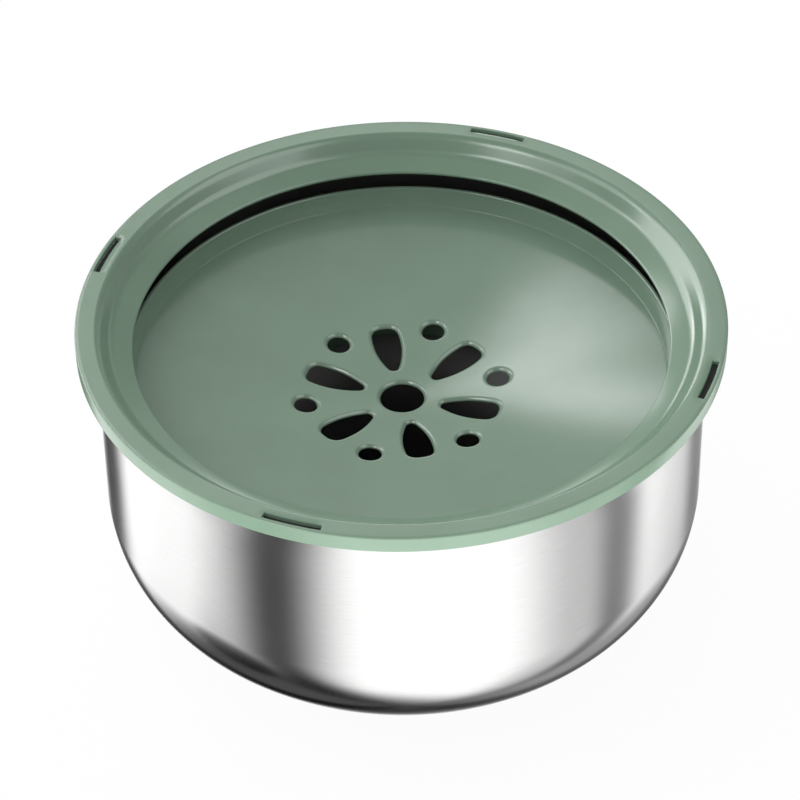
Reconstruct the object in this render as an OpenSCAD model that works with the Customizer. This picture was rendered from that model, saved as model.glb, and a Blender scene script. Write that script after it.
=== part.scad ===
// No-spill water bowl: a steel bowl, a clip-on splash ring and a perforated float.
// Millimetres, +Z up, origin at the centre of the base on the surface it stands on.

/* [Bowl] */
// Outer diameter of the steel wall
bowl_d = 206.6; // [180:0.2:240]
// Height of the steel shell, from its base to the top of its rim
bowl_h = 111.1; // [95:0.1:140]
// Thickness of the steel sheet
bowl_t = 0.8; // [0.6:0.05:1.2]
// Outer radius of the curve between the wall and the base
bowl_corner_r = 45.4; // [40:0.1:58]
// Radius of the outward bend under the rim
rim_bend_r = 1.5; // [1.2:0.1:2.4]
// Width of the flat of the rim, between its bend and its bead
rim_flat_w = 1.1; // [0.8:0.1:3]
// Radius of the bead rolled along the rim
rim_bead_r = 1.1; // [0.9:0.05:1.4]

/* [Base ring] */
// Distance of the non-slip ring inside the edge of the flat base
base_ring_inset = 8; // [2:0.5:12]
// Width of the non-slip ring
base_ring_w = 12; // [8:0.5:20]
// How far the non-slip ring stands out below the steel
base_ring_stand = 2; // [1:0.25:4]
// Depth of the pressed groove that holds it
base_groove = 1.2; // [0.8:0.1:2]
// Gap between the ring and each side of its groove
base_ring_clear = 0.15; // [0.1:0.05:0.3]

/* [Splash ring] */
// Thickness of the ring's band, shoulder, ledge and lip
ring_t = 1.5; // [1.2:0.1:2]
// Thickness of the skirt around the rim
skirt_t = 1.3; // [1:0.1:2]
// Radius along the ring's outer top edge
ring_edge_r = 0.9; // [0.3:0.1:1.2]
// Radius inside the shoulder's bend
shoulder_r = 1.3; // [0.8:0.05:2]
// Slope of the drop below the shoulder, in degrees
drop_slope = 56; // [50:1:65]
// Straight length of the drop
drop_len = 3.65; // [2.5:0.05:5]
// Radius of the hollow between the drop and the ledge
ledge_hollow_r = 4.1; // [2.5:0.1:6]
// Slope of the ledge, in degrees
ledge_slope = 22; // [15:1:26]
// Gap between the drop and the bowl's wall
ring_wall_clear = 1.8; // [1.2:0.05:2.4]

/* [Snaps] */
// Number of snap hooks, each with a slot above it
snap_count = 4; // [3:1:8]
// Direction of the first snap, in degrees from +X
snap_first = 70.6; // [0:0.1:90]
// Length of a slot along the ring
slot_len = 20; // [12:1:30]
// Width of a slot
slot_w = 2.2; // [1.6:0.1:2.4]
// Distance of a slot's outer edge inside the skirt
slot_inset = 0.2; // [0.1:0.05:0.5]
// How far a hook reaches in from the skirt
hook_reach = 1.4; // [1:0.1:2.2]
// Height of a hook
hook_h = 0.8; // [0.6:0.1:1.4]
// How far a hook's foot lies above the skirt's
hook_lift = 0.2; // [0.1:0.05:0.5]
// Gap between a hook and the rim's bead
hook_clear = 0.3; // [0.2:0.05:0.5]

/* [Rim seal] */
// Thickness of the seal on the rim
seal_t = 0.8; // [0.6:0.1:1.2]
// Gap between the seal's outer edge and the skirt
seal_gap = 0.3; // [0.2:0.1:1]

/* [Float] */
// Gap between the float's edge and the bowl's wall
float_side_gap = 8.1; // [5:0.1:10]
// How far the ring's lip reaches in over the float's edge
float_hold = 3.4; // [2.5:0.1:4.5]
// Depth of the float's edge below the ring's lip
float_drop = 7.4; // [4:0.1:12]
// Height of the float's raised edge
edge_h = 6.5; // [4:0.5:9]
// Thickness of the raised edge
edge_t = 1.6; // [1.2:0.1:2.2]
// How far the raised edge leans out over its height
edge_lean = 2; // [1:0.25:4]
// Thickness of the dish
dish_t = 2; // [1.4:0.1:2.6]
// Slope of the dish at its middle, in degrees
dish_slope = 6.5; // [5:0.1:8]
// Radius of the dish's slight hollow along a line from its middle
dish_hollow_r = 1250; // [1000:50:3000]

/* [Float holes] */
// Diameter of the middle hole
middle_hole_d = 15.1; // [10:0.1:18]
// Number of small round holes, and of drop-shaped holes
hole_count = 6; // [5:1:6]
// Direction of the first small hole, in degrees from +X
hole_first = 10.6; // [0:0.1:60]
// Distance of the small holes from the middle
hole_ring_r = 33.7; // [32:0.1:38]
// Diameter of a small hole
small_hole_d = 7.8; // [6:0.1:9]
// Distance of a drop hole's narrow end from the middle
drop_start_r = 14; // [12.5:0.1:16]
// Distance of a drop hole's wide end from the middle
drop_end_r = 34.5; // [32:0.1:36]
// Greatest width of a drop hole
drop_w = 9.7; // [8:0.1:10.5]
// Radius of a drop hole's bulging sides
drop_side_r = 29; // [25:0.5:40]
// Radius of a drop hole's narrow end
drop_tip_r = 1.9; // [1.4:0.1:2.4]
// Radius of the two corners at a drop hole's wide end
drop_corner_r = 2.6; // [1.5:0.1:3.2]

/* [Float cover] */
// Thickness of the cover
cover_t = 1.5; // [1.2:0.1:2]
// Width of the dish left open between its small holes and the cover
cover_in_gap = 4.5; // [3:0.5:8]
// Distance of the cover's outer wall inside the foot of the raised edge
cover_out_gap = 10.6; // [8:0.1:16]
// Depth of the cover's bottom below the dish's middle
cover_depth = 6; // [4:0.5:10]
// Inside radius of the cover's inner corner
cover_in_corner_r = 1.5; // [1:0.1:3]
// Inside radius of the cover's outer corner
cover_out_corner_r = 4.5; // [3:0.1:7]

/* [Hidden] */
$fn = 128;
eps = 0.5;

// Bowl: radii out from the axis, heights up from the surface it stands on
bowl_r = bowl_d / 2;
bowl_in_r = bowl_r - bowl_t;
base_flat_r = bowl_r - bowl_corner_r;
base_z = base_ring_stand;
rim_z = base_z + bowl_h;
rim_bend = [bowl_r + rim_bend_r, rim_z - bowl_t - rim_bend_r];
bead_r = rim_bend[0] + rim_flat_w;
bead_out_r = bead_r + rim_bead_r;

// Groove in the base and the non-slip ring in it
base_ring_out_r = base_flat_r - base_ring_inset;
base_ring_in_r = base_ring_out_r - base_ring_w;
groove_out_r = base_ring_out_r + base_ring_clear;
groove_in_r = base_ring_in_r - base_ring_clear;
groove_z = base_z + base_groove;

// Splash ring: seated on the seal, around the bead
ring_z = rim_z + seal_t + ring_t;
skirt_in_r = bead_out_r + hook_clear + hook_reach;
ring_r = skirt_in_r + skirt_t;
hook_z = rim_z - 2 * rim_bead_r - hook_clear;
hook_foot_z = hook_z - hook_h;
skirt_z = hook_foot_z - hook_lift;
shoulder_out_r = shoulder_r + ring_t;
drop_run = shoulder_r * sin(drop_slope) + drop_len * cos(drop_slope);
band_in_r = bowl_in_r - ring_wall_clear + drop_run;
shoulder = [band_in_r, ring_z - shoulder_out_r];
drop_top = shoulder + shoulder_out_r * up_normal(drop_slope);
drop_foot = drop_top + drop_len * inward(drop_slope);
hollow = drop_foot + ledge_hollow_r * up_normal(drop_slope);
ledge_top = hollow - ledge_hollow_r * up_normal(ledge_slope);

// Float and the lip that holds it down
float_r = bowl_in_r - float_side_gap;
mouth_r = float_r - float_hold;
lip_r = ring_t / 2;
ledge_mid = ledge_top - lip_r * up_normal(ledge_slope);
ledge_len = (ledge_mid[0] - mouth_r - lip_r) / cos(ledge_slope);
lip = ledge_mid + ledge_len * inward(ledge_slope);
edge_z = lip[1] - lip_r - float_drop;
dish_r = float_r - edge_t - edge_lean;
dish_z = edge_z - edge_h;

// Cover: between the holes and the raised edge
cover_in_r = hole_ring_r + small_hole_d / 2 + cover_in_gap;
cover_out_r = dish_r - cover_out_gap;
cover_z = dish_top(0) - dish_t - cover_depth;

// Direction down a slope towards the axis, and the direction square to it, as [radius, height]
function inward(slope) = [-cos(slope), -sin(slope)];
function up_normal(slope) = [-sin(slope), cos(slope)];

// Points along an arc about a centre, from one angle to another
function arc(centre, r, from, to, steps = 10) =
    [for (i = [0:steps]) let (a = from + (to - from) * i / steps) centre + r * [cos(a), sin(a)]];

// Even stations from one radius to another
function stations(from, to, steps) = [for (i = [0:steps]) from + (to - from) * i / steps];

// Height of the dish's top and underside at a radius
function dish_rise(r) = r * tan(dish_slope) + r * r / (2 * dish_hollow_r);
function dish_top(r) = dish_z - dish_rise(dish_r) + dish_rise(r);
function dish_under(r) = dish_top(r) - dish_t;

// Radii at which the dish's curve is drawn, with the cover's walls among them
dish_radii = concat(
    stations(0, cover_in_r, 5),
    stations(cover_in_r + cover_t, cover_out_r - cover_t, 5),
    stations(cover_out_r, dish_r, 2)
);

// Outline of a drop-shaped hole along +X, its narrow end towards the axis
function drop_outline() =
    let (
        tip = [drop_start_r + drop_tip_r, 0],
        side_y = drop_w / 2 - drop_side_r,
        side_x = tip[0] + sqrt(pow(drop_side_r - drop_tip_r, 2) - side_y * side_y),
        corner_x = drop_end_r - drop_corner_r,
        corner_y = side_y + sqrt(pow(drop_side_r - drop_corner_r, 2) - pow(corner_x - side_x, 2)),
        corner_a = atan2(corner_y - side_y, corner_x - side_x),
        tip_a = atan2(-side_y, tip[0] - side_x)
    )
    concat(
        arc([corner_x, corner_y], drop_corner_r, 0, corner_a, 5),
        arc([side_x, side_y], drop_side_r, corner_a, tip_a, 8),
        arc(tip, drop_tip_r, tip_a, 360 - tip_a, 6),
        arc([side_x, -side_y], drop_side_r, 360 - tip_a, 360 - corner_a, 8),
        arc([corner_x, -corner_y], drop_corner_r, 360 - corner_a, 360, 5)
    );

// Copies children around the axis
module around(count, first) {
    for (i = [0:count - 1])
        rotate(first + i * 360 / count) children();
}

// A short stretch of a ring, centred on +X, with the given section and length at a radius
module ring_stretch(length, at_r) {
    sweep = length / at_r * 180 / PI;
    rotate(-sweep / 2) rotate_extrude(angle = sweep) children();
}

// Drawn steel shell with a rolled rim and a groove pressed up into its base
module bowl_shell() {
    corner = [base_flat_r, base_z + bowl_corner_r];
    outside = concat(
        [[0, base_z], [groove_in_r, base_z], [groove_in_r, groove_z]],
        [[groove_out_r, groove_z], [groove_out_r, base_z]],
        arc(corner, bowl_corner_r, -90, 0, 32),
        arc(rim_bend, rim_bend_r, 180, 90),
        [[bead_r, rim_z - bowl_t]]
    );
    inside = concat(
        [[bead_r, rim_z]],
        arc(rim_bend, rim_bend_r + bowl_t, 90, 180),
        arc(corner, bowl_corner_r - bowl_t, 0, -90, 32),
        [[groove_out_r + bowl_t, base_z + bowl_t], [groove_out_r + bowl_t, groove_z + bowl_t]],
        [[groove_in_r - bowl_t, groove_z + bowl_t], [groove_in_r - bowl_t, base_z + bowl_t]],
        [[0, base_z + bowl_t]]
    );
    color("gainsboro") rotate_extrude() {
        polygon(concat(outside, inside));
        translate([bead_r, rim_z - rim_bead_r]) circle(rim_bead_r);
    }
}

// Soft ring that the bowl stands on
module base_ring() {
    color("dimgray") rotate_extrude()
        translate([base_ring_in_r, 0]) square([base_ring_w, groove_z]);
}

// Ring clipped over the rim: band, shoulder, ledge and lip in one wall, with a skirt
module splash_ring() {
    top = concat(
        arc([ring_r - ring_edge_r, ring_z - ring_edge_r], ring_edge_r, 0, 90, 4),
        arc(shoulder, shoulder_out_r, 90, 90 + drop_slope),
        arc(hollow, ledge_hollow_r, drop_slope - 90, ledge_slope - 90),
        arc(lip, lip_r, 90 + ledge_slope, 270 + ledge_slope)
    );
    under = concat(
        arc(hollow, ledge_hollow_r + ring_t, ledge_slope - 90, drop_slope - 90),
        arc(shoulder, shoulder_r, 90 + drop_slope, 90),
        [[skirt_in_r, ring_z - ring_t], [skirt_in_r, skirt_z], [ring_r, skirt_z]]
    );
    hook_nose_r = skirt_in_r - hook_reach;
    hook = [
        [skirt_in_r + skirt_t / 2, hook_foot_z],
        [hook_nose_r, hook_foot_z + hook_h / 2],
        [hook_nose_r, hook_z],
        [skirt_in_r + skirt_t / 2, hook_z]
    ];
    slot_in_r = skirt_in_r - slot_inset - slot_w;
    color("darkseagreen") {
        difference() {
            rotate_extrude() polygon(concat(top, under));
            around(snap_count, snap_first) ring_stretch(slot_len, skirt_in_r)
                translate([slot_in_r, ring_z - ring_t - eps]) square([slot_w, ring_t + 2 * eps]);
        }
        around(snap_count, snap_first) ring_stretch(slot_len, skirt_in_r) polygon(hook);
    }
}

// Flat gasket on the rim, under the ring's band
module rim_seal() {
    color("dimgray") rotate_extrude()
        translate([rim_bend[0], rim_z]) square([skirt_in_r - seal_gap - rim_bend[0], seal_t]);
}

// Perforated dish with a raised, rounded edge
module float_dish() {
    edge_r = edge_t / 2;
    section = concat(
        [for (r = dish_radii) [r, dish_top(r)]],
        arc([float_r - edge_r, edge_z - edge_r], edge_r, 180, 0),
        [[dish_r + edge_t, dish_z]],
        [for (i = [len(dish_radii) - 1:-1:0]) let (r = dish_radii[i]) [r, dish_under(r)]]
    );
    hole_z = dish_under(0) - eps;
    hole_h = edge_z - hole_z;
    color("darkseagreen") difference() {
        rotate_extrude() polygon(section);
        translate([0, 0, hole_z]) {
            cylinder(h = hole_h, d = middle_hole_d);
            around(hole_count, hole_first)
                translate([hole_ring_r, 0]) cylinder(h = hole_h, d = small_hole_d);
            around(hole_count, hole_first + 180 / hole_count)
                linear_extrude(hole_h) polygon(drop_outline());
        }
    }
}

// Ring-shaped shell welded under the dish, closing an air chamber
module float_cover() {
    in_r = cover_in_corner_r;
    out_r = cover_out_corner_r;
    in_corner = [cover_in_r + cover_t + in_r, cover_z + cover_t + in_r];
    out_corner = [cover_out_r - cover_t - out_r, cover_z + cover_t + out_r];
    outside = concat(
        [[cover_in_r, dish_under(cover_in_r)]],
        arc(in_corner, in_r + cover_t, 180, 270, 6),
        arc(out_corner, out_r + cover_t, -90, 0),
        [[cover_out_r, dish_under(cover_out_r)]]
    );
    inside = concat(
        [[cover_out_r - cover_t, dish_under(cover_out_r - cover_t)]],
        arc(out_corner, out_r, 0, -90),
        arc(in_corner, in_r, 270, 180, 6),
        [[cover_in_r + cover_t, dish_under(cover_in_r + cover_t)]]
    );
    color("cadetblue") rotate_extrude() polygon(concat(outside, inside));
}

bowl_shell();
base_ring();
splash_ring();
rim_seal();
float_dish();
float_cover();
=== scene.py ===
import bpy
import bmesh
from math import asin, atan2, cos, degrees, hypot, pi, radians, sin, sqrt, tan
from mathutils import Matrix, Quaternion, Vector


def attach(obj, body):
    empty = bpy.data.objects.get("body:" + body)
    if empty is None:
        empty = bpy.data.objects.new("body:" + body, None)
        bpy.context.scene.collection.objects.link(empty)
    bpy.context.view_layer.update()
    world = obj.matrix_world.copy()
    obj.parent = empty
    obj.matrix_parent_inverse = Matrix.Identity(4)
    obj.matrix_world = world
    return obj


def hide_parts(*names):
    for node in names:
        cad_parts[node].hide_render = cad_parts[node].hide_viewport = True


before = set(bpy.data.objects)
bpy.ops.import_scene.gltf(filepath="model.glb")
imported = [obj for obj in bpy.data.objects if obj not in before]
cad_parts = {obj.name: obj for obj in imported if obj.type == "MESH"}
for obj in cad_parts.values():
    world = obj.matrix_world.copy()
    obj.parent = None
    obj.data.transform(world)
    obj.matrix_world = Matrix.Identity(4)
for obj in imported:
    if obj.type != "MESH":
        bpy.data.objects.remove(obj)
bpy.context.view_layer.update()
mm = 0.001
scene = bpy.context.scene
print("frame loaded:", sorted(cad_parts))

# the camera stands where the photographer stood: in front, looking down (mm and degrees)
shot = dict(aim=(-0.81, 0, 77.7), distance=1210, height=40.957, roll=-0.9026, lens=158.21, sensor=36, near=50)


def placeCamera():
    camData = bpy.data.cameras.new("photoCamera")
    camData.lens = shot["lens"]
    camData.sensor_width = shot["sensor"]
    camData.sensor_fit = "HORIZONTAL"
    camData.clip_start = shot["near"] * mm
    cam = bpy.data.objects.new("photoCamera", camData)
    scene.collection.objects.link(cam)
    lift = radians(shot["height"])
    aim = Vector(shot["aim"]) * mm
    back = Vector((0, -cos(lift), sin(lift))) * shot["distance"] * mm
    tilt = Quaternion((0, 0, 1), radians(shot["roll"]))
    cam.location = aim + back
    cam.rotation_mode = "QUATERNION"
    cam.rotation_quaternion = (-back).to_track_quat("-Z", "Y") @ tilt
    scene.camera = cam


placeCamera()
print("camera placed")

# profiles are drawn in the XZ plane as (radius, height) in mm, then spun round the bowl's axis
weld = dict(spun=0.5e-6, drop=2e-6, dish=3e-6)  # doubles closer than this are merged, in metres


def startAt(bm, r, z):
    return bm.verts.new((r * mm, 0, z * mm))


def lineTo(bm, last, r, z):
    new = startAt(bm, r, z)
    bm.edges.new((last, new))
    return new


def sweepVert(bm, last, centre, axis, angle, steps):
    made = bmesh.ops.spin(bm, geom=[last], cent=centre, axis=axis, angle=angle, steps=steps,
                          use_merge=False, use_duplicate=False)
    return [item for item in made["geom_last"] if isinstance(item, bmesh.types.BMVert)][0]


def arcTo(bm, last, r, z, turn, steps):  # about (r, z), left turns are positive
    return sweepVert(bm, last, (r * mm, 0, z * mm), (0, 1, 0), -radians(turn), steps)


def spinRound(bm, steps):
    bmesh.ops.spin(bm, geom=bm.verts[:] + bm.edges[:], cent=(0, 0, 0), axis=(0, 0, 1),
                   angle=2 * pi, steps=steps, use_merge=True, use_duplicate=False)
    bmesh.ops.remove_doubles(bm, verts=bm.verts, dist=weld["spun"])
    bmesh.ops.recalc_face_normals(bm, faces=bm.faces)


def turnVerts(bm, verts, angle):
    bmesh.ops.rotate(bm, verts=verts, cent=(0, 0, 0), matrix=Matrix.Rotation(radians(angle), 3, "Z"))


def edgesOf(verts):
    return list({edge for p in verts for edge in p.link_edges})


def isWall(face):
    return abs(face.normal.z) < 0.5


def isLevel(face):
    return abs(face.normal.z) > 0.9


def finishPiece(bm, name, body, node, look, sharp=34):
    mesh = bpy.data.meshes.new(name)
    bmesh.ops.recalc_face_normals(bm, faces=bm.faces)
    bm.to_mesh(mesh)
    bm.free()
    for face in mesh.polygons:
        face.use_smooth = True
    mesh.set_sharp_from_angle(angle=radians(sharp))
    mesh.materials.append(look)
    piece = bpy.data.objects.new(name, mesh)
    scene.collection.objects.link(piece)
    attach(piece, body)
    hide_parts(node)
    print(name, "has", len(mesh.polygons), "faces")


# materials

def newLook(name):
    look = bpy.data.materials.new(name)
    look.use_nodes = True
    nodes = look.node_tree.nodes
    return look, nodes, look.node_tree.links, nodes["Principled BSDF"]


def addNode(nodes, kind, **inputs):
    node = nodes.new(kind)
    for key, value in inputs.items():
        node.inputs[key].default_value = value
    return node


def rampOf(nodes, stops):  # two stops, as a new ramp has
    node = nodes.new("ShaderNodeValToRGB")
    for element, (place, tone) in zip(node.color_ramp.elements, stops):
        element.position = place
        element.color = (*tone, 1)
    return node


def mathNode(nodes, links, operation, *terms):
    node = nodes.new("ShaderNodeMath")
    node.operation = operation
    for socket, value in zip(node.inputs, terms):
        if isinstance(value, (int, float)):
            socket.default_value = value
        else:
            links.new(value, socket)
    return node.outputs[0]


def mapStep(nodes, links, value, start, end, low, high, kind="SMOOTHSTEP"):
    node = nodes.new("ShaderNodeMapRange")
    node.interpolation_type = kind
    links.new(value, node.inputs["Value"])
    for key, amount in (("From Min", start), ("From Max", end), ("To Min", low), ("To Max", high)):
        node.inputs[key].default_value = amount
    return node.outputs["Result"]


def addBump(nodes, links, shader, height, strength, depth):
    bump = addNode(nodes, "ShaderNodeBump", Strength=strength, Distance=depth * mm)
    links.new(height, bump.inputs["Height"])
    links.new(bump.outputs["Normal"], shader.inputs["Normal"])


def sRgb(*tone):
    def flat(c):
        c = c / 255
        return c / 12.92 if c <= 0.04045 else ((c + 0.055) / 1.055) ** 2.4
    return [flat(c) for c in tone]


# satin mouldings: a fine spark-eroded grain, and faint cloudiness from the melt
moulded = dict(cloud=38, deep=0.955, pale=1.04, spread=0.03, span=(0.3, 0.7), depth=0.2)
mouldings = dict(
    sageRingPlastic=dict(tint=(131, 158, 137), rough=0.17, grain=2600, bump=0.04, sheen=0.75),
    sageDishPlastic=dict(tint=(132, 157, 138), rough=0.12, grain=2600, bump=0.04, sheen=0.75),
    sageCoverPlastic=dict(tint=(132, 157, 138), rough=0.42, grain=2200, bump=0.06, sheen=0.5),
    gripSilicone=dict(tint=(66, 68, 66), rough=0.6, grain=1800, bump=0.12, sheen=0.5),
    sealSilicone=dict(tint=(38, 42, 39), rough=0.55, grain=1800, bump=0.1, sheen=0.5))


def makeMoulded(name):
    m, own = moulded, mouldings[name]
    look, nodes, links, shader = newLook(name)
    shader.inputs["Specular IOR Level"].default_value = own["sheen"]
    place = nodes.new("ShaderNodeTexCoord")
    cloud = addNode(nodes, "ShaderNodeTexNoise", Scale=m["cloud"], Detail=3, Roughness=0.55)
    links.new(place.outputs["Object"], cloud.inputs["Vector"])
    tint = sRgb(*own["tint"])
    deep = [c * m["deep"] for c in tint]
    pale = [c * m["pale"] for c in tint]
    tone = rampOf(nodes, zip(m["span"], (deep, pale)))
    links.new(cloud.outputs["Fac"], tone.inputs["Fac"])
    links.new(tone.outputs["Color"], shader.inputs["Base Color"])
    grain = addNode(nodes, "ShaderNodeTexNoise", Scale=own["grain"], Detail=2, Roughness=0.6)
    links.new(place.outputs["Object"], grain.inputs["Vector"])
    rough = mapStep(nodes, links, grain.outputs["Fac"], *m["span"], own["rough"] - m["spread"],
                    own["rough"] + m["spread"], kind="LINEAR")
    links.new(rough, shader.inputs["Roughness"])
    addBump(nodes, links, shader, grain.outputs["Fac"], own["bump"], m["depth"])
    return look


looks = {name: makeMoulded(name) for name in mouldings}
print("mouldings have their materials")

# steel bowl: one drawn sheet, its rim turned out flat and rolled into a bead
bowl = dict(wall=103.3, height=111.1, sheet=0.8, corner=45.4, bend=1.5, rimFlat=1.1, bead=1.1,
            stand=2, grooveIn=37.75, grooveOut=50.05, groove=1.2, soften=0.5, steps=192,
            softSteps=3, cornerSteps=40, wallSteps=4, bendSteps=8, beadSteps=20)

# polished stainless: fine lines run round the bowl, left by the polishing wheel, and the inside is satin, its
# colour darkened as painted shade
steelTone = dict(bright=(0.65, 0.65, 0.646), dull=(0.61, 0.61, 0.608), span=(0.3, 0.62), rough=(0.16, 0.20),
                 haze=22, hazeSpan=(0.3, 0.7), satin=0.25, inside=0.55, turnOver=0.1,
                 lines=3200, along=0.004, bump=0.003, depth=0.4)


def makeSteel():
    s = steelTone
    look, nodes, links, shader = newLook("polishedSteel")
    shader.inputs["Metallic"].default_value = 1
    place = nodes.new("ShaderNodeTexCoord")
    split = nodes.new("ShaderNodeSeparateXYZ")
    links.new(place.outputs["Object"], split.inputs[0])

    def sums(operation, *terms):
        return mathNode(nodes, links, operation, *terms)

    def length(a, b):
        return sums("SQRT", sums("ADD", sums("MULTIPLY", a, a), sums("MULTIPLY", b, b)))

    x, y, z = split.outputs
    radius = length(x, y)
    lines = nodes.new("ShaderNodeCombineXYZ")
    links.new(sums("MULTIPLY", sums("ARCTAN2", y, x), s["along"]), lines.inputs["X"])
    links.new(sums("SUBTRACT", z, radius), lines.inputs["Y"])  # down the wall and in over the base
    grain = addNode(nodes, "ShaderNodeTexNoise", Scale=s["lines"], Detail=3, Roughness=0.6)
    links.new(lines.outputs[0], grain.inputs["Vector"])
    haze = addNode(nodes, "ShaderNodeTexNoise", Scale=s["haze"], Detail=2, Roughness=0.5)
    links.new(place.outputs["Object"], haze.inputs["Vector"])
    tone = rampOf(nodes, zip(s["span"], (s["dull"], s["bright"])))
    links.new(grain.outputs["Fac"], tone.inputs["Fac"])
    # how far a point is from the middle of the sheet tells the inside from the outside
    out = sums("MAXIMUM", sums("SUBTRACT", radius, (bowl["wall"] - bowl["corner"]) * mm), 0.0)
    down = sums("MAXIMUM", sums("SUBTRACT", (bowl["stand"] + bowl["corner"]) * mm, z), 0.0)
    reach = length(out, down)
    middle = (bowl["corner"] - bowl["sheet"] / 2) * mm
    over = s["turnOver"] * mm
    satin = mapStep(nodes, links, reach, middle - over, middle + over, s["satin"], 0)
    # painted shade: the steel's colour is darkened inside the bowl, where little light reaches
    shade = mapStep(nodes, links, reach, middle - over, middle + over, s["inside"], 1)
    paintedShadeTint = nodes.new("ShaderNodeVectorMath")
    paintedShadeTint.operation = "SCALE"
    links.new(tone.outputs["Color"], paintedShadeTint.inputs[0])
    links.new(shade, paintedShadeTint.inputs["Scale"])
    links.new(paintedShadeTint.outputs["Vector"], shader.inputs["Base Color"])
    polish = mapStep(nodes, links, haze.outputs["Fac"], *s["hazeSpan"], *s["rough"])
    links.new(sums("ADD", polish, satin), shader.inputs["Roughness"])
    addBump(nodes, links, shader, grain.outputs["Fac"], s["bump"], s["depth"])
    return look


looks["polishedSteel"] = makeSteel()
print("steel has its material")


def makeBowl():
    b = bowl
    base = b["stand"]
    rim = base + b["height"]
    flatEnd = b["wall"] - b["corner"]
    cornerZ = base + b["corner"]
    bendR, bendZ = b["wall"] + b["bend"], rim - b["sheet"] - b["bend"]
    beadR = bendR + b["rimFlat"]
    up = base + b["groove"]
    t, s = b["sheet"], b["soften"]
    wallHeights = [cornerZ + (bendZ - cornerZ) * k / b["wallSteps"] for k in range(b["wallSteps"] + 1)]
    bm = bmesh.new()
    # outside, from the middle of the base up to the rim
    v = startAt(bm, 0, base)
    v = lineTo(bm, v, b["grooveIn"] - s, base)
    v = arcTo(bm, v, b["grooveIn"] - s, base + s, 90, b["softSteps"])
    v = lineTo(bm, v, b["grooveIn"], up - s)
    v = arcTo(bm, v, b["grooveIn"] + s, up - s, -90, b["softSteps"])
    v = lineTo(bm, v, b["grooveOut"] - s, up)
    v = arcTo(bm, v, b["grooveOut"] - s, up - s, -90, b["softSteps"])
    v = lineTo(bm, v, b["grooveOut"], base + s)
    v = arcTo(bm, v, b["grooveOut"] + s, base + s, 90, b["softSteps"])
    v = lineTo(bm, v, flatEnd, base)
    v = arcTo(bm, v, flatEnd, cornerZ, 90, b["cornerSteps"])
    for z in wallHeights[1:]:
        v = lineTo(bm, v, b["wall"], z)
    v = arcTo(bm, v, bendR, bendZ, -90, b["bendSteps"])
    # rolled bead: round under the rim and back over its top
    dip = degrees(asin((b["bead"] - t) / b["bead"]))
    v = lineTo(bm, v, beadR - b["bead"] * cos(radians(dip)), rim - t)
    v = arcTo(bm, v, beadR, rim - b["bead"], 270 - dip, b["beadSteps"])
    # inside, back down
    v = lineTo(bm, v, bendR, rim)
    v = arcTo(bm, v, bendR, bendZ, 90, b["bendSteps"])
    for z in reversed(wallHeights[:-1]):
        v = lineTo(bm, v, b["wall"] - t, z)
    v = arcTo(bm, v, flatEnd, cornerZ, -90, b["cornerSteps"])
    v = lineTo(bm, v, b["grooveOut"] + t + s, base + t)
    v = lineTo(bm, v, b["grooveOut"] + t, base + t + s)
    v = lineTo(bm, v, b["grooveOut"] + t - s, up + t)
    v = lineTo(bm, v, b["grooveIn"] - t + s, up + t)
    v = lineTo(bm, v, b["grooveIn"] - t, base + t + s)
    v = lineTo(bm, v, b["grooveIn"] - t - s, base + t)
    lineTo(bm, v, 0, base + t)
    spinRound(bm, b["steps"])
    finishPiece(bm, "steelBowl", "bowl", "bowl_shell", looks["polishedSteel"])


makeBowl()

# soft ring under the base
grip = dict(inner=37.9, outer=49.9, top=3.2, edge=0.6, steps=128, edgeSteps=4)


def makeGrip():
    g = grip
    bm = bmesh.new()
    e = g["edge"]
    v = startAt(bm, g["inner"] + e, 0)
    v = lineTo(bm, v, g["outer"] - e, 0)
    v = arcTo(bm, v, g["outer"] - e, e, 90, g["edgeSteps"])
    v = lineTo(bm, v, g["outer"], g["top"])
    v = lineTo(bm, v, g["inner"], g["top"])
    v = lineTo(bm, v, g["inner"], e)
    arcTo(bm, v, g["inner"] + e, e, 90, g["edgeSteps"])
    spinRound(bm, g["steps"])
    finishPiece(bm, "gripRing", "bowl", "base_ring", looks["gripSilicone"])


makeGrip()

# splash ring: flat band, rounded shoulder, steep drop, hollow, sloping ledge and thin lip, with a skirt
ring = dict(top=115.4, outer=110, thick=1.5, skirt=1.3, skirtFoot=109.6, footEdge=0.3, edge=0.5,
            bandIn=103.78, bend=1.6, bendTurn=29, shoulder=6, dropSlope=54, drop=2.8, hollow=6,
            ledgeSlope=22, mouth=91, steps=240, edgeSteps=5, bendSteps=6, underSteps=3, hollowSteps=16,
            lipSteps=10, sharp=40)
slots = dict(count=4, first=70.6, length=7, wide=2.2, inset=0.2, soften=0.2, near=0.1)  # length in ring steps
hooks = dict(reach=1.4, foot=109.8, step=0.4, top=110.6, root=0.7)  # root: how deep a hook sits in the skirt


def slopeIn(deg):  # down the slope, towards the middle
    return Vector((-cos(radians(deg)), -sin(radians(deg))))


def slopeUp(deg):  # square to the slope, upwards
    return Vector((-sin(radians(deg)), cos(radians(deg))))


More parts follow.
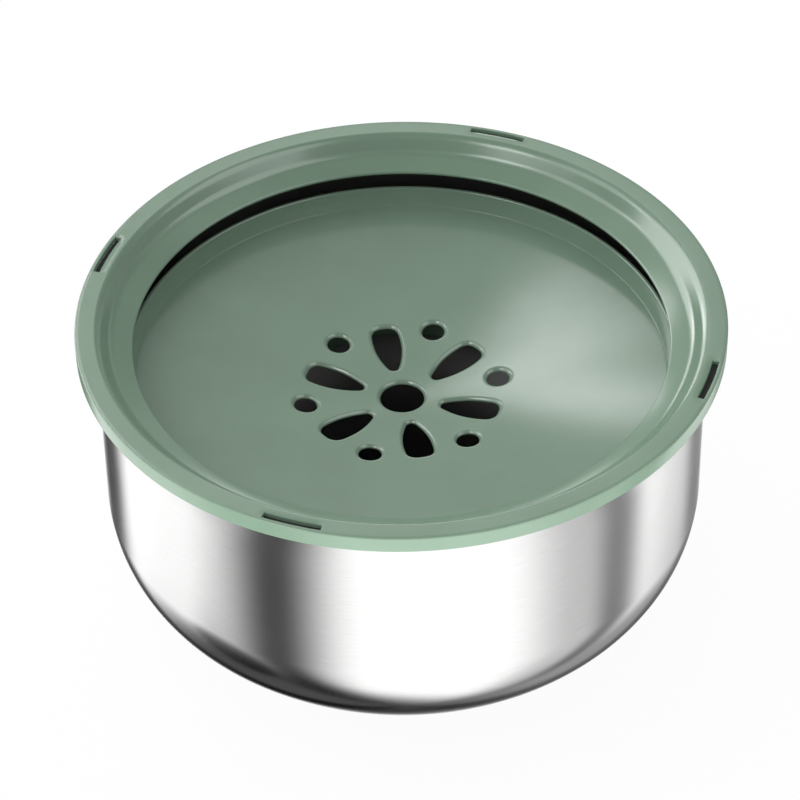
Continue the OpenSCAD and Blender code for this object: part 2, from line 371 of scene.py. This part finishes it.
def cutSlots(bm, slotIn, slotOut):  # open the band above the hooks, then wall the openings in
    g = ring
    step = 360 / g["steps"]
    for k in range(slots["count"]):
        start = k * 360 / slots["count"]
        end = start + slots["length"] * step
        gone = []
        for face in bm.faces:
            mid = face.calc_center_median() / mm
            place = degrees(atan2(mid.y, mid.x)) % 360
            inBand = slotIn < hypot(mid.x, mid.y) < slotOut and mid.z > g["top"] - g["thick"] - slots["near"]
            if inBand and start < place < end and isLevel(face):
                gone.append(face)
        bmesh.ops.delete(bm, geom=gone, context="FACES")
        rims = [edge for edge in bm.edges if edge.is_boundary]
        bmesh.ops.bridge_loops(bm, edges=rims)
        topZ = (g["top"] - slots["near"]) * mm
        topRim = [edge for edge in rims if min(p.co.z for p in edge.verts) > topZ]
        bmesh.ops.bevel(bm, geom=topRim, offset=slots["soften"] * mm, offset_type="OFFSET", segments=2,
                        profile=0.5, affect="EDGES", material=-1)


def addHooks(bm, skirtIn):  # inside the skirt, one under each slot
    h = hooks
    nose, root = skirtIn - h["reach"], skirtIn + h["root"]
    corners = [(root, h["foot"]), (skirtIn, h["foot"]), (nose, h["foot"] + h["step"]),
               (nose, h["top"]), (root, h["top"])]
    turn = radians(slots["length"] * 360 / ring["steps"])
    for k in range(slots["count"]):
        end = bm.faces.new([startAt(bm, *corner) for corner in corners])
        made = bmesh.ops.spin(bm, geom=[end], cent=(0, 0, 0), axis=(0, 0, 1), angle=turn,
                              steps=slots["length"], use_merge=False, use_duplicate=False)
        new = {p for item in made["geom_last"] if isinstance(item, bmesh.types.BMFace) for p in item.verts}
        hook = set(new)
        while new:  # gather the whole hook before turning it to its place
            new = {other for p in new for edge in p.link_edges for other in edge.verts} - hook
            hook |= new
        turnVerts(bm, list(hook), k * 360 / slots["count"])


def makeRing():
    g = ring
    t, e = g["thick"], g["edge"]
    skirtIn = g["outer"] - g["skirt"]
    slotOut = skirtIn - slots["inset"]
    slotIn = slotOut - slots["wide"]
    turn, fall, ledge = g["bendTurn"], g["dropSlope"], g["ledgeSlope"]
    # centres of the curves from the band down to the lip
    bend = Vector((g["bandIn"], g["top"] - g["bend"]))
    shoulder = bend + (g["bend"] - g["shoulder"]) * slopeUp(turn)
    dropFoot = shoulder + g["shoulder"] * slopeUp(fall) + g["drop"] * slopeIn(fall)
    hollow = dropFoot + g["hollow"] * slopeUp(fall)
    ledgeMid = hollow - g["hollow"] * slopeUp(ledge) - t / 2 * slopeUp(ledge)
    lip = ledgeMid + (ledgeMid.x - g["mouth"] - t / 2) / cos(radians(ledge)) * slopeIn(ledge)
    bm = bmesh.new()
    first = startAt(bm, g["outer"], g["skirtFoot"] + g["footEdge"])
    v = lineTo(bm, first, g["outer"], g["top"] - e)
    v = arcTo(bm, v, g["outer"] - e, g["top"] - e, 90, g["edgeSteps"])
    v = lineTo(bm, v, slotOut, g["top"])
    v = lineTo(bm, v, slotIn, g["top"])
    v = lineTo(bm, v, bend.x, g["top"])
    v = arcTo(bm, v, *bend, turn, g["bendSteps"])
    v = arcTo(bm, v, *shoulder, fall - turn, g["bendSteps"])
    v = lineTo(bm, v, *dropFoot)
    v = arcTo(bm, v, *hollow, ledge - fall, g["hollowSteps"])
    v = lineTo(bm, v, *(lip + t / 2 * slopeUp(ledge)))
    v = arcTo(bm, v, *lip, 180, g["lipSteps"])
    # underside, back out to the skirt
    v = lineTo(bm, v, *(hollow - (g["hollow"] + t) * slopeUp(ledge)))
    v = arcTo(bm, v, *hollow, fall - ledge, g["hollowSteps"])
    v = lineTo(bm, v, *(shoulder + (g["shoulder"] - t) * slopeUp(fall)))
    v = arcTo(bm, v, *shoulder, turn - fall, g["bendSteps"])
    v = arcTo(bm, v, *bend, -turn, g["underSteps"])
    v = lineTo(bm, v, slotIn, g["top"] - t)
    v = lineTo(bm, v, slotOut, g["top"] - t)
    v = lineTo(bm, v, skirtIn, g["top"] - t)
    v = lineTo(bm, v, skirtIn, g["skirtFoot"])
    v = lineTo(bm, v, g["outer"] - g["footEdge"], g["skirtFoot"])
    bm.edges.new((v, first))
    spinRound(bm, g["steps"])
    cutSlots(bm, slotIn, slotOut)
    addHooks(bm, skirtIn)
    turnVerts(bm, bm.verts, slots["first"] - slots["length"] * 180 / g["steps"])
    finishPiece(bm, "splashRing", "ring", "splash_ring", looks["sageRingPlastic"],
                sharp=g["sharp"])


makeRing()

# flat gasket between the ring and the rim
seal = dict(inner=104.8, outer=108.4, foot=113.1, thick=0.8, edge=0.2, steps=192, edgeSteps=3)


def makeSeal():
    s = seal
    edgeR = s["outer"] - s["edge"]
    top = s["foot"] + s["thick"]
    bm = bmesh.new()
    first = startAt(bm, s["inner"], s["foot"])
    v = lineTo(bm, first, edgeR, s["foot"])
    v = arcTo(bm, v, edgeR, s["foot"] + s["edge"], 90, s["edgeSteps"])
    v = lineTo(bm, v, s["outer"], top - s["edge"])
    v = arcTo(bm, v, edgeR, top - s["edge"], 90, s["edgeSteps"])
    v = lineTo(bm, v, s["inner"], top)
    bm.edges.new((v, first))
    spinRound(bm, s["steps"])
    finishPiece(bm, "rimSeal", "ring", "rim_seal", looks["sealSilicone"])


makeSeal()

# floating dish: a shallow hollow cone with a raised edge and a flower of holes
dish = dict(foot=91.811, radius=90.8, edgeTop=98.311, outer=94.4, edge=1.6, lean=2, thick=2, slope=4.5,
            hollow=700, flower=44, footBend=0.3, floorStop=0.6, underEdge=0.8, underStop=0.5, steps=192,
            floorSteps=12, underSteps=7, bendSteps=4, edgeSteps=10, sharp=38)
holes = dict(middle=7.55, count=6, first=10.6, ringAt=33.7, small=3.9, collar=1.6, cuts=3,
             soften=1.0, under=0.8, flat=0.32,  # flat: the rims are nearly chamfers
             middleSteps=64, smallSteps=40)
drop = dict(start=14, end=34.5, wide=9.7, side=29, tip=1.9, corner=3.6,
            cornerSteps=6, sideSteps=12, tipSteps=8)


def dishRise(r):
    return r * tan(radians(dish["slope"])) + r * r / (2 * dish["hollow"])


def dishTop(r):
    return dish["foot"] - dishRise(dish["radius"]) + dishRise(r)


def dishUnder(r):
    return dishTop(r) - dish["thick"]


def roundLoop(bm, x, y, r, count):
    made = bmesh.ops.create_circle(bm, segments=count, radius=r * mm,
                                   matrix=Matrix.Translation((x * mm, y * mm, 0)))
    return edgesOf(made["verts"])


def dropLoop(bm, turn):  # outline of a drop hole, its narrow end towards the middle
    d = drop
    tipX = d["start"] + d["tip"]
    sideY = d["wide"] / 2 - d["side"]
    sideX = tipX + sqrt((d["side"] - d["tip"]) ** 2 - sideY ** 2)
    cornerX = d["end"] - d["corner"]
    cornerY = sideY + sqrt((d["side"] - d["corner"]) ** 2 - (cornerX - sideX) ** 2)
    cornerTurn = degrees(atan2(cornerY - sideY, cornerX - sideX))
    tipTurn = degrees(atan2(-sideY, tipX - sideX))

    def sweep(last, x, y, angle, steps):
        return sweepVert(bm, last, (x * mm, y * mm, 0), (0, 0, 1), radians(angle), steps)

    before = set(bm.verts)
    first = bm.verts.new((d["end"] * mm, -cornerY * mm, 0))
    v = bm.verts.new((d["end"] * mm, cornerY * mm, 0))
    bm.edges.new((first, v))
    v = sweep(v, cornerX, cornerY, cornerTurn, d["cornerSteps"])
    v = sweep(v, sideX, sideY, tipTurn - cornerTurn, d["sideSteps"])
    v = sweep(v, tipX, 0, 360 - 2 * tipTurn, d["tipSteps"])
    v = sweep(v, sideX, -sideY, tipTurn - cornerTurn, d["sideSteps"])
    sweep(v, cornerX, -cornerY, cornerTurn, d["cornerSteps"])
    new = [p for p in bm.verts if p not in before]
    bmesh.ops.remove_doubles(bm, verts=new, dist=weld["drop"])
    new = [p for p in bm.verts if p not in before]
    turnVerts(bm, new, turn)
    return edgesOf(new)


def fillFlower(bm):  # the dish's middle, flat, filled between the outlines of its holes
    h = holes
    step = 360 / h["count"]
    rims = roundLoop(bm, 0, 0, h["middle"], h["middleSteps"])
    rims += roundLoop(bm, 0, 0, dish["flower"], dish["steps"])
    for k in range(h["count"]):
        turn = radians(h["first"] + k * step)
        rims += roundLoop(bm, h["ringAt"] * cos(turn), h["ringAt"] * sin(turn), h["small"], h["smallSteps"])
        rims += dropLoop(bm, h["first"] + (k + 0.5) * step)
    made = bmesh.ops.triangle_fill(bm, use_beauty=True, use_dissolve=False, normal=(0, 0, 1), edges=rims)
    web = [face for face in made["geom"] if isinstance(face, bmesh.types.BMFace)]
    bm.normal_update()
    for face in web:
        if face.normal.z < 0:
            face.normal_flip()
    bmesh.ops.inset_region(bm, faces=web, thickness=h["collar"] * mm, use_boundary=True, use_even_offset=True)
    kept = set(web)
    inner = [edge for edge in bm.edges if len(edge.link_faces) == 2 and set(edge.link_faces) <= kept]
    bmesh.ops.subdivide_edges(bm, edges=inner, cuts=h["cuts"], use_grid_fill=True)


def thickenFlower(bm):  # gives the middle its underside and the holes their walls and softened rims
    d, h = dish, holes
    flowerR, inFlower = d["flower"] * mm, (d["flower"] - 1) * mm

    def inside(edge):
        return min(p.co.xy.length for p in edge.verts) < inFlower

    outline = [edge for edge in bm.edges if edge.is_boundary]
    under = bmesh.ops.extrude_face_region(bm, geom=bm.faces[:], use_keep_orig=True)
    low = [p for p in under["geom"] if isinstance(p, bmesh.types.BMVert)]
    bmesh.ops.translate(bm, verts=low, vec=(0, 0, -d["thick"] * mm))
    border = [face for face in bm.faces
              if all(abs(p.co.xy.length - flowerR) < 1e-6 for p in face.verts) and isWall(face)]
    bmesh.ops.delete(bm, geom=border, context="FACES_ONLY")  # open, for the rest of the dish
    mouths = [edge for edge in outline if edge.is_valid and inside(edge)]
    bm.normal_update()
    lowest = -0.9 * d["thick"] * mm
    feet = [edge for edge in bm.edges if max(p.co.z for p in edge.verts) < lowest and inside(edge)
            and any(isWall(face) for face in edge.link_faces)]
    for rim, offset, segments in ((feet, h["under"], 2), (mouths, h["soften"], 4)):
        bmesh.ops.bevel(bm, geom=rim, offset=offset * mm, offset_type="OFFSET", segments=segments,
                        profile=h["flat"], affect="EDGES", material=-1)


def spinRest():  # the dish's floor outside the flower, its raised edge and its underside
    d = dish
    e = d["edge"] / 2
    lean = degrees(atan2(d["lean"], d["edgeTop"] - e - d["foot"]))
    tilt = degrees(atan2(dishRise(d["radius"]) - dishRise(d["radius"] - 1), 1))
    bendTurn = 90 - lean - tilt  # small bend where the floor meets the raised edge
    floorOut = Vector((cos(radians(tilt)), sin(radians(tilt))))
    bendStart = Vector((d["radius"], d["foot"])) - d["footBend"] * tan(radians(bendTurn / 2)) * floorOut
    bend = bendStart + d["footBend"] * Vector((-floorOut.y, floorOut.x))
    inner = Vector((d["outer"] - 2 * e, d["edgeTop"] - e))
    outR = d["radius"] + d["edge"]
    floorWide = bendStart.x - d["floorStop"] - d["flower"]
    underR = d["radius"] - d["underStop"]
    bm = bmesh.new()
    v = startAt(bm, d["flower"], dishTop(d["flower"]))
    for k in range(1, d["floorSteps"] + 1):
        r = d["flower"] + floorWide * k / d["floorSteps"]
        v = lineTo(bm, v, r, dishTop(r))
    v = lineTo(bm, v, *bendStart)
    v = arcTo(bm, v, *bend, bendTurn, d["bendSteps"])
    v = lineTo(bm, v, *inner)
    v = arcTo(bm, v, inner.x + e, inner.y, -180, d["edgeSteps"])
    v = lineTo(bm, v, outR, d["foot"])
    v = lineTo(bm, v, outR - d["underEdge"], dishUnder(d["radius"]))
    for k in range(d["underSteps"] + 1):
        r = underR + (d["flower"] - underR) * k / d["underSteps"]
        v = lineTo(bm, v, r, dishUnder(r))
    spinRound(bm, d["steps"])
    mesh = bpy.data.meshes.new("dishRest")
    bm.to_mesh(mesh)
    bm.free()
    return mesh


def makeDish():
    bm = bmesh.new()
    fillFlower(bm)
    thickenFlower(bm)
    for p in bm.verts:
        p.co.z += dishTop(p.co.xy.length / mm) * mm
    rest = spinRest()
    bm.from_mesh(rest)
    bpy.data.meshes.remove(rest)
    bmesh.ops.remove_doubles(bm, verts=bm.verts, dist=weld["dish"])
    finishPiece(bm, "floatDish", "float", "float_dish", looks["sageDishPlastic"],
                sharp=dish["sharp"])


makeDish()

# cover welded under the dish, closing its air chamber
cover = dict(inner=42.1, outer=80.2, foot=70.168, thick=1.5, inCorner=1.5, outCorner=4.5, steps=160,
             inSteps=(6, 5), outSteps=(10, 8))  # of each corner: outside, inside


def makeCover():
    c = cover
    t = c["thick"]
    inR, inZ = c["inner"] + t + c["inCorner"], c["foot"] + t + c["inCorner"]
    outR, outZ = c["outer"] - t - c["outCorner"], c["foot"] + t + c["outCorner"]
    wallIn, wallOut = c["inner"] + t, c["outer"] - t
    bm = bmesh.new()
    first = startAt(bm, c["inner"], dishUnder(c["inner"]))
    v = lineTo(bm, first, c["inner"], inZ)
    v = arcTo(bm, v, inR, inZ, 90, c["inSteps"][0])
    v = lineTo(bm, v, outR, c["foot"])
    v = arcTo(bm, v, outR, outZ, 90, c["outSteps"][0])
    v = lineTo(bm, v, c["outer"], dishUnder(c["outer"]))
    v = lineTo(bm, v, wallOut, dishUnder(wallOut))
    v = lineTo(bm, v, wallOut, outZ)
    v = arcTo(bm, v, outR, outZ, -90, c["outSteps"][1])
    v = lineTo(bm, v, inR, c["foot"] + t)
    v = arcTo(bm, v, inR, inZ, -90, c["inSteps"][1])
    v = lineTo(bm, v, wallIn, dishUnder(wallIn))
    bm.edges.new((v, first))
    spinRound(bm, c["steps"])
    finishPiece(bm, "floatCover", "float", "float_cover", looks["sageCoverPlastic"])


makeCover()
print("pieces made")

# studio: a white table, one low lamp in front, and a room that gloss sees
# azimuths run from the front round to the right, in degrees, and a pair is (core, edge)
room = dict(fill=0.24, gloss=1.65, sky=0.4, horizon=(-0.4, -0.15),
            domes=[((-1, 0.1, 0.3), 0.43),  # towards, strength
                   ((0, 0, 1), 0.25), ((-0.35, 0.65, 0.6), 0.62)],
            screens=[(-52, (3, 36), 0.05),  # azimuth, half width, what is left
                     (72, (4, 34), 0.5), (91, (3, 16), 0.2), (-151, (7, 22), 0.03), (154, (6, 22), 0.25)],
            pits=[((-0.25, 0.12, -1), (14, 34), 0.06),  # towards, half width, what is left
                  ((-0.56, -0.05, -0.83), (8, 12), 0.1),
                  ((0.3, 0.35, -0.9), (10, 30), 0.25)],
            boxes=[(-168.8, 38.5, (0.8, 2.4), (2, 9), 5),  # azimuth, height, half width and height, strength
                   (-166.9, 47.5, (1, 2.8), (2.5, 8), 4.3),
                   (-122, 18, (22, 28), (14, 23), 3.7),
                   (-150, 7, (10, 14), (5, 10), 2.8),
                   (68, 47, (25, 38), (14, 24), 2),
                   (-45, 46, (8, 16), (5, 12), 4.2),
                   (-70, 40, (28, 40), (8, 15), 1.8),
                   (180, 10, (6, 11), (6, 10), 2.4),
                   (180, 40, (5, 6.8), (4.5, 7), 0.85),
                   (140, 33, (20, 26), (16, 24), -0.32),  # below zero: dark panels
                   (0, 90, (180, 181), (15, 35), -0.35)])
floorLook = dict(shade=0.08, plain=1.019, glow=1.3, white=0.9, reach=3.0)  # shade: how much shadow it takes
frontBox = dict(at=(0.05, -1.1, 0.05), aim=(0, 0, 0.09), size=(0.9, 0.08), power=7.5)


def mixShaders(nodes, links, share, low, high):
    mix = nodes.new("ShaderNodeMixShader")
    links.new(low.outputs[0], mix.inputs[1])
    links.new(high.outputs[0], mix.inputs[2])
    if isinstance(share, float):
        mix.inputs[0].default_value = share
    else:
        links.new(share, mix.inputs[0])
    return mix


def seenPlainly(nodes, links):  # by the camera, or through something clear
    path = nodes.new("ShaderNodeLightPath")
    return mathNode(nodes, links, "MAXIMUM", path.outputs["Is Camera Ray"], path.outputs["Is Transmission Ray"])


def makeRoom():
    world = bpy.data.worlds.new("studioRoom")
    scene.world = world
    world.use_nodes = True
    nodes, links = world.node_tree.nodes, world.node_tree.links
    nodes.clear()
    place = nodes.new("ShaderNodeTexCoord")
    split = nodes.new("ShaderNodeSeparateXYZ")
    links.new(place.outputs["Generated"], split.inputs[0])

    def sums(operation, *terms):
        return mathNode(nodes, links, operation, *terms)

    def fade(value, start, end, low, high):
        return mapStep(nodes, links, value, start, end, low, high)

    x, y, z = split.outputs
    turn = sums("MULTIPLY", sums("ARCTAN2", x, sums("MULTIPLY", y, -1.0)), 180 / pi)
    height = sums("MULTIPLY", sums("ARCSINE", z), 180 / pi)

    def offTurn(at):  # degrees round from an azimuth
        return sums("ABSOLUTE", sums("WRAP", sums("SUBTRACT", turn, at), 180.0, -180.0))

    def facing(towards):
        dot = nodes.new("ShaderNodeVectorMath")
        dot.operation = "DOT_PRODUCT"
        links.new(place.outputs["Generated"], dot.inputs[0])
        dot.inputs[1].default_value = Vector(towards).normalized()
        return dot.outputs["Value"]

    # what gloss sees below the horizon: a bright floor with dark screens and pits
    level = room["gloss"]
    for at, wide, left in room["screens"]:
        level = sums("MULTIPLY", level, fade(offTurn(at), *wide, left, 1))
    for towards, (core, edge), left in room["pits"]:
        pit = fade(facing(towards), cos(radians(edge)), cos(radians(core)), 1, left)
        level = sums("MULTIPLY", level, pit)
    # and above it: a dim sky with light boxes
    sky = room["sky"]
    for at, lift, wide, tall, bright in room["boxes"]:
        offLift = sums("ABSOLUTE", sums("SUBTRACT", height, lift))
        sky = sums("MULTIPLY_ADD", fade(offTurn(at), *wide, 1, 0), fade(offLift, *tall, bright, 0), sky)
    above = fade(z, *room["horizon"], 0, 1)
    below = sums("SUBTRACT", 1.0, above)
    level = sums("MULTIPLY_ADD", level, below, sums("MULTIPLY", sky, above))
    # soft light on everything that isn't gloss
    soft = room["fill"]
    for towards, bright in room["domes"]:
        soft = sums("MULTIPLY_ADD", sums("MAXIMUM", facing(towards), 0.0), bright, soft)
    gloss, fill, white = [addNode(nodes, "ShaderNodeBackground", Color=(1, 1, 1, 1)) for k in range(3)]
    links.new(level, gloss.inputs["Strength"])
    links.new(soft, fill.inputs["Strength"])
    path = nodes.new("ShaderNodeLightPath")
    lit = mixShaders(nodes, links, path.outputs["Is Glossy Ray"], fill, gloss)
    mixed = mixShaders(nodes, links, seenPlainly(nodes, links), lit, white)
    out = nodes.new("ShaderNodeOutputWorld")
    links.new(mixed.outputs[0], out.inputs["Surface"])


def makeFloor():
    bm = bmesh.new()
    bmesh.ops.create_grid(bm, x_segments=1, y_segments=1, size=floorLook["reach"])
    mesh = bpy.data.meshes.new("studioFloor")
    bm.to_mesh(mesh)
    bm.free()
    floor = bpy.data.objects.new("studioFloor", mesh)
    scene.collection.objects.link(floor)
    look = bpy.data.materials.new("whitePaper")
    look.use_nodes = True
    nodes, links = look.node_tree.nodes, look.node_tree.links
    nodes.clear()
    paper = addNode(nodes, "ShaderNodeBsdfDiffuse", Color=(floorLook["white"],) * 3 + (1,))
    plain = addNode(nodes, "ShaderNodeEmission", Strength=floorLook["plain"])
    glow = addNode(nodes, "ShaderNodeEmission", Strength=floorLook["glow"])
    table = mixShaders(nodes, links, floorLook["shade"], plain, paper)
    mixed = mixShaders(nodes, links, seenPlainly(nodes, links), glow, table)
    out = nodes.new("ShaderNodeOutputMaterial")
    links.new(mixed.outputs[0], out.inputs["Surface"])
    mesh.materials.append(look)
    floor.visible_glossy = False  # gloss looks past the paper at the room


def makeLamp():
    lamp = bpy.data.lights.new("frontBox", "AREA")
    lamp.shape = "RECTANGLE"
    lamp.size, lamp.size_y = frontBox["size"]
    lamp.energy = frontBox["power"]
    obj = bpy.data.objects.new("frontBox", lamp)
    obj.location = frontBox["at"]
    towards = Vector(frontBox["aim"]) - Vector(frontBox["at"])
    obj.rotation_euler = towards.to_track_quat("-Z", "Y").to_euler()
    obj.visible_glossy = False  # gloss sees the room's boxes instead
    scene.collection.objects.link(obj)


makeRoom()
makeFloor()
makeLamp()
scene.view_settings.view_transform = "Standard"
print("studio made")
